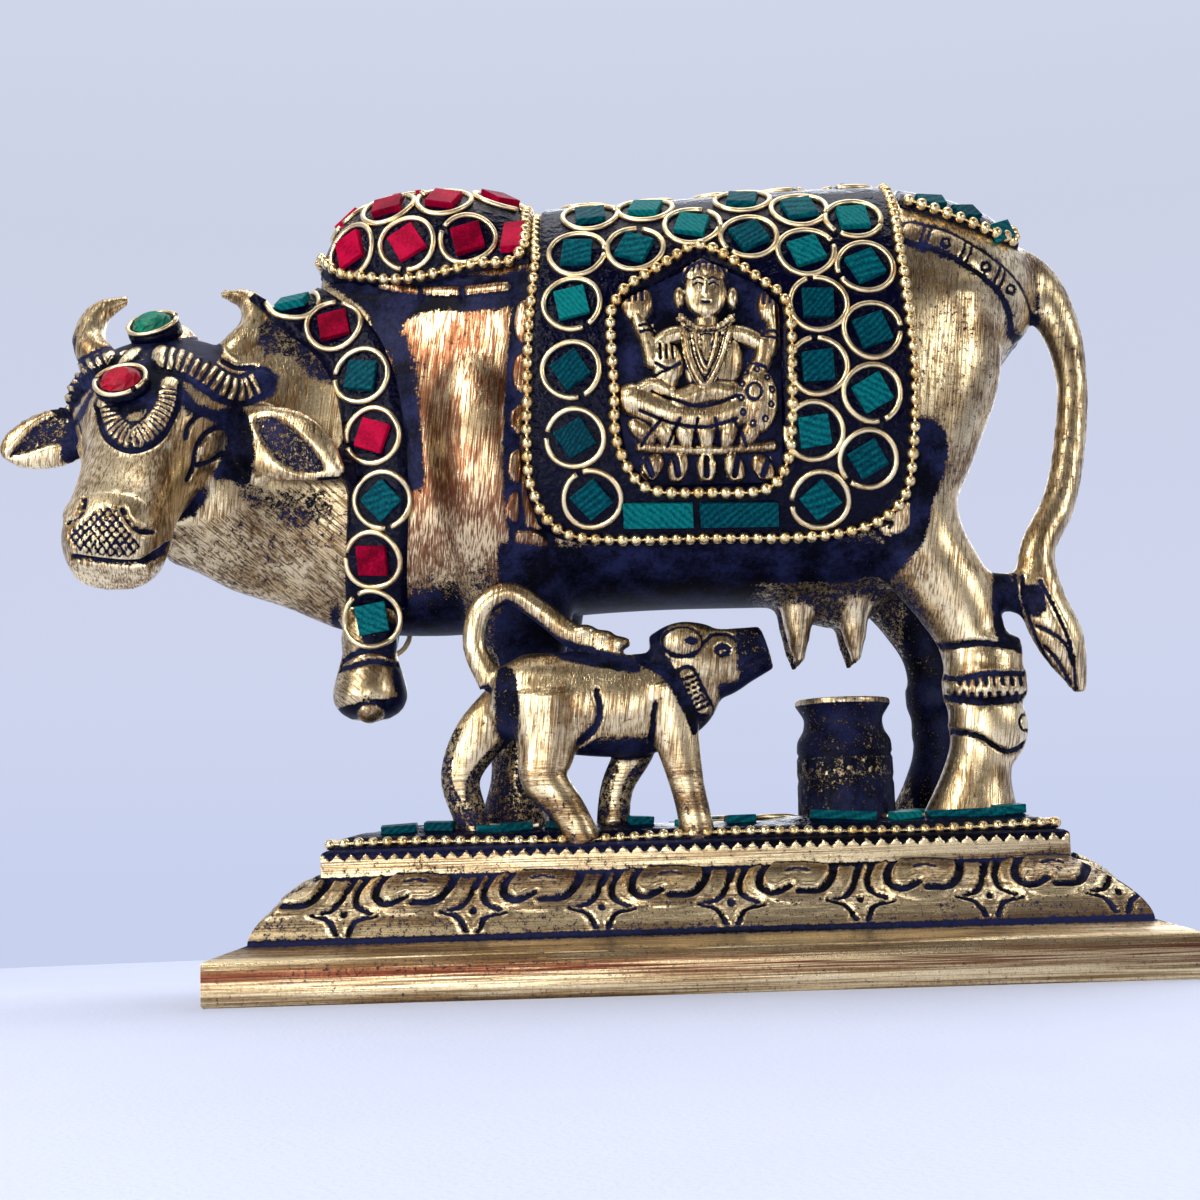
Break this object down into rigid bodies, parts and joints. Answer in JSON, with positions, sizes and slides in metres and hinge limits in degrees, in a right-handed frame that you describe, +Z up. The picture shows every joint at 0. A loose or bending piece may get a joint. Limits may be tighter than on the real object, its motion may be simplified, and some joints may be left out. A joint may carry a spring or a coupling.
{
  "type": "kamdhenu cow statue",
  "caption": "Small cast brass cow suckling her calf beside a milk pot on a stepped lotus plinth, with stone chips, wire rings and ball chains set in dark mastic",
  "frame": {"origin": "middle of the plinth's underside", "axes": "+Z up, the cow's head towards -X, the side with the calf towards -Y"},
  "size_m": [0.1973, 0.08, 0.1439],
  "materials": {
    "brass": "brushed, with dark patina in the hollows",
    "dark_brass": "darkened, with worn edges",
    "wire": "bright drawn wire and ball chain",
    "mastic": "glossy, hand spread",
    "green_stone": "polished, banded",
    "red_stone": "polished"
  },
  "bodies": {
    "root": {"plinth": "brass", "cow": "brass", "calf": "brass", "pot": "dark_brass", "saddle_bed": "mastic", "hump_bed": "mastic", "rump_bed": "mastic", "garland_bed": "mastic", "plinth_bed": "mastic", "garland_chip_1": "red_stone", "garland_ring_1": "wire", "garland_chip_2": "green_stone", "garland_ring_2": "wire", "garland_chip_3": "red_stone", "garland_ring_3": "wire", "garland_chip_4": "green_stone", "garland_ring_4": "wire", "garland_chip_5": "red_stone", "garland_ring_5": "wire", "saddle_front_chip_1": "green_stone", "saddle_front_ring_1": "wire", "saddle_front_chip_2": "green_stone", "saddle_front_ring_2": "wire", "saddle_front_chip_3": "green_stone", "saddle_front_ring_3": "wire", "saddle_front_chip_4": "green_stone", "saddle_front_ring_4": "wire", "saddle_rear_chip_1": "green_stone", "saddle_rear_ring_1": "wire", "saddle_rear_chip_2": "green_stone", "saddle_rear_ring_2": "wire", "saddle_rear_chip_3": "green_stone", "saddle_rear_ring_3": "wire", "saddle_rear_chip_4": "green_stone", "saddle_rear_ring_4": "wire", "saddle_rear_chip_5": "green_stone", "saddle_rear_ring_5": "wire", "saddle_rear_chip_6": "green_stone", "saddle_rear_ring_6": "wire", "saddle_rear_chip_7": "green_stone", "saddle_rear_ring_7": "wire", "hump_chip_1": "red_stone", "hump_ring_1": "wire", "hump_chip_2": "red_stone", "hump_ring_2": "wire", "saddle_long_chip_1": "green_stone", "saddle_long_chip_2": "green_stone", "saddle_chain": "wire", "hump_chain": "wire", "rump_chain": "wire", "green_cabochon_bed": "mastic", "green_cabochon": "green_stone", "green_cabochon_ring": "wire", "red_cabochon_bed": "mastic", "red_cabochon": "red_stone", "red_cabochon_ring": "wire"}
  },
  "joints": []
}
